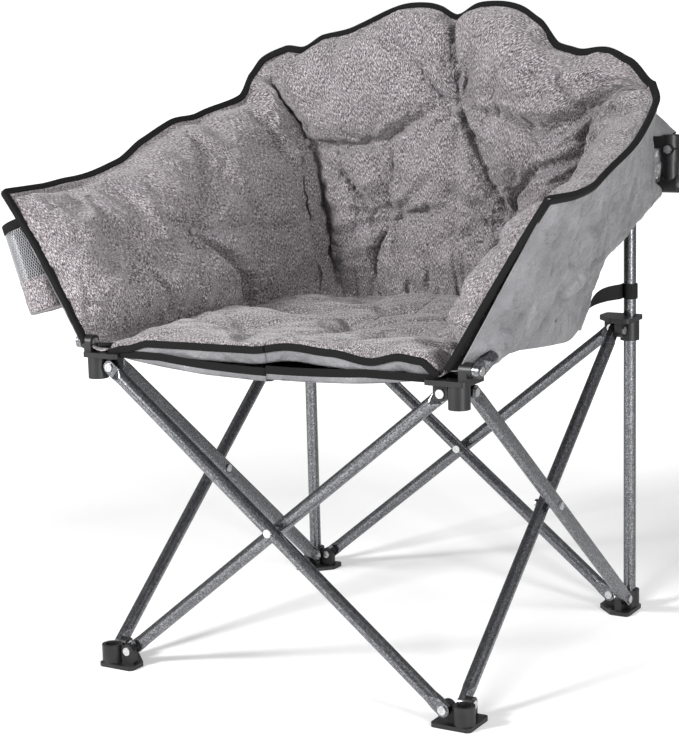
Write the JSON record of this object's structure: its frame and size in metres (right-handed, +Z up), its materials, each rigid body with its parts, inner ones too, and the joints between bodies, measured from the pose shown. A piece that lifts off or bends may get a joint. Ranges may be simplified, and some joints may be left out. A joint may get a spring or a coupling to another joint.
{
  "type": "folding club chair",
  "caption": "Folding club chair: crossed pairs of steel tubes on all sides fold a padded bucket seat with wings, two arms and a back arch into a bundle; cup pocket at one side.",
  "frame": {"origin": "on the ground under the middle of the whole box", "axes": "+Z up, -Y the front, +X the sitter's left, which is the right of a picture taken from the front"},
  "size_m": [0.904, 0.6344, 0.937],
  "materials": {
    "steel": "grey hammertone powder coat on steel tube",
    "moulding": "black moulded nylon",
    "zinc": "zinc plated rivets",
    "cloth": "heathered grey woven polyester over fibre padding",
    "lining": "light grey coated oxford cloth",
    "webbing": "black woven webbing"
  },
  "bodies": {
    "rear_left_corner": {"rear_left_foot": "moulding", "rear_left_post": "steel", "rear_left_foot_rivets": "zinc", "left_knuckle": "moulding", "left_knuckle_rivets": "zinc", "left_post_strap": "webbing", "left_wing": "cloth", "back_pad": "cloth", "cup_pocket": "lining"},
    "rear_outer_bar": {"rear_outer_bar": "steel", "rear_cross_rivet": "zinc"},
    "rear_inner_bar": {"rear_inner_bar": "steel"},
    "rear_right_corner": {"rear_right_foot": "moulding", "rear_right_post": "steel", "rear_right_foot_rivets": "zinc", "right_knuckle": "moulding", "right_knuckle_rivets": "zinc", "right_post_strap": "webbing", "right_wing": "cloth"},
    "rear_left_hub": {"rear_left_slide_hub": "moulding", "rear_left_hub_rivets": "zinc"},
    "rear_right_hub": {"rear_right_slide_hub": "moulding", "rear_right_hub_rivets": "zinc"},
    "left_inner_bar": {"left_inner_bar": "steel"},
    "left_outer_bar": {"left_outer_bar": "steel", "left_cross_rivet": "zinc"},
    "front_left_foot": {"front_left_foot": "moulding", "front_left_foot_rivets": "zinc"},
    "front_left_hub": {"front_left_hub": "moulding", "front_left_hub_rivets": "zinc", "left_arm_pin": "zinc", "left_corner_tab": "webbing"},
    "front_inner_bar": {"front_inner_bar": "steel"},
    "front_outer_bar": {"front_outer_bar": "steel", "front_cross_rivet": "zinc"},
    "front_right_foot": {"front_right_foot": "moulding", "front_right_foot_rivets": "zinc"},
    "front_right_hub": {"front_right_hub": "moulding", "front_right_hub_rivets": "zinc", "right_arm_pin": "zinc", "right_corner_tab": "webbing"},
    "right_outer_bar": {"right_outer_bar": "steel", "right_cross_rivet": "zinc"},
    "right_inner_bar": {"right_inner_bar": "steel"},
    "right_front_arm": {"right_front_arm_tube": "steel"},
    "left_front_arm": {"left_front_arm_tube": "steel"},
    "right_rear_arm": {"right_rear_arm_tube": "steel"},
    "left_rear_arm": {"left_rear_arm_tube": "steel"},
    "right_arch": {"right_arch_tube": "steel"},
    "left_arch": {"left_arch_tube": "steel"},
    "right_seat": {"right_seat_pad": "cloth", "right_seat_sling": "lining"},
    "left_seat": {"left_seat_pad": "cloth", "left_seat_sling": "lining"}
  },
  "joints": [
    {"name": "fold", "type": "hinge", "parent": "rear_left_corner", "child": "rear_outer_bar", "pos_m": [-0.24252, 0.27124, 0.024], "axis": [0, -1, 0], "range_deg": [0, 45.52], "deforming": ["left_wing", "right_wing", "back_pad", "cup_pocket", "left_post_strap", "right_post_strap", "left_corner_tab", "right_corner_tab", "right_seat_pad", "left_seat_pad", "right_seat_sling", "left_seat_sling"]},
    {"name": "rear_cross", "type": "hinge", "parent": "rear_outer_bar", "child": "rear_inner_bar", "pos_m": [0.01798, 0.27124, 0.235], "axis": [0, 1, 0], "range_deg": [0, 91.04]},
    {"name": "rear_right_foot_turn", "type": "hinge", "parent": "rear_inner_bar", "child": "rear_right_corner", "pos_m": [0.27848, 0.27124, 0.024], "axis": [0, -1, 0], "range_deg": [0, 45.53]},
    {"name": "rear_left_hub_turn", "type": "hinge", "parent": "rear_inner_bar", "child": "rear_left_hub", "pos_m": [-0.24252, 0.27124, 0.446], "axis": [0, -1, 0], "range_deg": [0, 45.53]},
    {"name": "rear_right_hub_turn", "type": "hinge", "parent": "rear_outer_bar", "child": "rear_right_hub", "pos_m": [0.27848, 0.27124, 0.446], "axis": [0, 1, 0], "range_deg": [0, 45.53]},
    {"name": "left_foot_turn", "type": "hinge", "parent": "rear_left_corner", "child": "left_inner_bar", "pos_m": [-0.26502, 0.24874, 0.024], "axis": [-1, 0, 0], "range_deg": [0, 45.53]},
    {"name": "left_cross", "type": "hinge", "parent": "left_inner_bar", "child": "left_outer_bar", "pos_m": [-0.26502, -0.01176, 0.235], "axis": [1, 0, 0], "range_deg": [0, 91.04]},
    {"name": "front_left_foot_turn", "type": "hinge", "parent": "left_outer_bar", "child": "front_left_foot", "pos_m": [-0.26502, -0.27226, 0.024], "axis": [-1, 0, 0], "range_deg": [0, 45.53]},
    {"name": "front_left_hub_turn", "type": "hinge", "parent": "left_inner_bar", "child": "front_left_hub", "pos_m": [-0.26502, -0.27226, 0.446], "axis": [1, 0, 0], "range_deg": [0, 45.53]},
    {"name": "front_foot_turn", "type": "hinge", "parent": "front_left_foot", "child": "front_inner_bar", "pos_m": [-0.24252, -0.29476, 0.024], "axis": [0, -1, 0], "range_deg": [0, 45.53]},
    {"name": "front_cross", "type": "hinge", "parent": "front_inner_bar", "child": "front_outer_bar", "pos_m": [0.01798, -0.29476, 0.235], "axis": [0, 1, 0], "range_deg": [0, 91.04]},
    {"name": "front_right_foot_turn", "type": "hinge", "parent": "front_outer_bar", "child": "front_right_foot", "pos_m": [0.27848, -0.29476, 0.024], "axis": [0, -1, 0], "range_deg": [0, 45.53]},
    {"name": "front_right_hub_turn", "type": "hinge", "parent": "front_inner_bar", "child": "front_right_hub", "pos_m": [0.27848, -0.29476, 0.446], "axis": [0, 1, 0], "range_deg": [0, 45.53]},
    {"name": "right_foot_turn", "type": "hinge", "parent": "rear_right_corner", "child": "right_outer_bar", "pos_m": [0.30098, 0.24874, 0.024], "axis": [-1, 0, 0], "range_deg": [0, 45.53]},
    {"name": "right_cross", "type": "hinge", "parent": "right_outer_bar", "child": "right_inner_bar", "pos_m": [0.30098, -0.01176, 0.235], "axis": [1, 0, 0], "range_deg": [0, 91.04]},
    {"name": "right_front_arm_fold", "type": "hinge", "parent": "front_right_hub", "child": "right_front_arm", "pos_m": [0.33248, -0.29926, 0.479], "axis": [-1, 0, 0], "range_deg": [0, 121.53]},
    {"name": "right_rear_arm_fold", "type": "hinge", "parent": "rear_right_corner", "child": "right_rear_arm", "pos_m": [0.35348, 0.27574, 0.667], "axis": [1, 0, 0], "range_deg": [0, 33.43]},
    {"name": "left_front_arm_fold", "type": "hinge", "parent": "front_left_hub", "child": "left_front_arm", "pos_m": [-0.29652, -0.29926, 0.479], "axis": [-1, 0, 0], "range_deg": [0, 121.53]},
    {"name": "left_rear_arm_fold", "type": "hinge", "parent": "rear_left_corner", "child": "left_rear_arm", "pos_m": [-0.31752, 0.27574, 0.667], "axis": [1, 0, 0], "range_deg": [0, 33.43]},
    {"name": "right_arch_fold", "type": "hinge", "parent": "rear_right_corner", "child": "right_arch", "pos_m": [0.37048, 0.30774, 0.719], "axis": [0, 1, 0], "range_deg": [0, 48.78]},
    {"name": "left_arch_fold", "type": "hinge", "parent": "rear_left_corner", "child": "left_arch", "pos_m": [-0.33452, 0.30774, 0.719], "axis": [0, -1, 0], "range_deg": [0, 48.78]},
    {"name": "right_seat_fold", "type": "hinge", "parent": "rear_right_hub", "child": "right_seat", "pos_m": [0.25948, 0.23174, 0.466], "axis": [0, -1, 0], "range_deg": [0, 80.01]},
    {"name": "left_seat_fold", "type": "hinge", "parent": "rear_left_hub", "child": "left_seat", "pos_m": [-0.22352, 0.23174, 0.466], "axis": [0, 1, 0], "range_deg": [0, 80.01]}
  ],
  "couplings": [
    {"joint": "rear_cross", "follows": "fold", "ratio": 2},
    {"joint": "rear_right_foot_turn", "follows": "fold", "ratio": 1},
    {"joint": "rear_left_hub_turn", "follows": "fold", "ratio": 1},
    {"joint": "rear_right_hub_turn", "follows": "fold", "ratio": 1},
    {"joint": "left_foot_turn", "follows": "fold", "ratio": 1},
    {"joint": "left_cross", "follows": "fold", "ratio": 2},
    {"joint": "front_left_foot_turn", "follows": "fold", "ratio": 1},
    {"joint": "front_left_hub_turn", "follows": "fold", "ratio": 1},
    {"joint": "front_foot_turn", "follows": "fold", "ratio": 1},
    {"joint": "front_cross", "follows": "fold", "ratio": 2},
    {"joint": "front_right_foot_turn", "follows": "fold", "ratio": 1},
    {"joint": "front_right_hub_turn", "follows": "fold", "ratio": 1},
    {"joint": "right_foot_turn", "follows": "fold", "ratio": 1},
    {"joint": "right_cross", "follows": "fold", "ratio": 2},
    {"joint": "right_front_arm_fold", "follows": "fold", "ratio": 2.6698},
    {"joint": "right_rear_arm_fold", "follows": "fold", "ratio": 0.73436},
    {"joint": "left_front_arm_fold", "follows": "fold", "ratio": 2.6698},
    {"joint": "left_rear_arm_fold", "follows": "fold", "ratio": 0.73436},
    {"joint": "right_arch_fold", "follows": "fold", "ratio": 1.0716},
    {"joint": "left_arch_fold", "follows": "fold", "ratio": 1.0716},
    {"joint": "right_seat_fold", "follows": "fold", "ratio": 1.7576},
    {"joint": "left_seat_fold", "follows": "fold", "ratio": 1.7576}
  ]
}
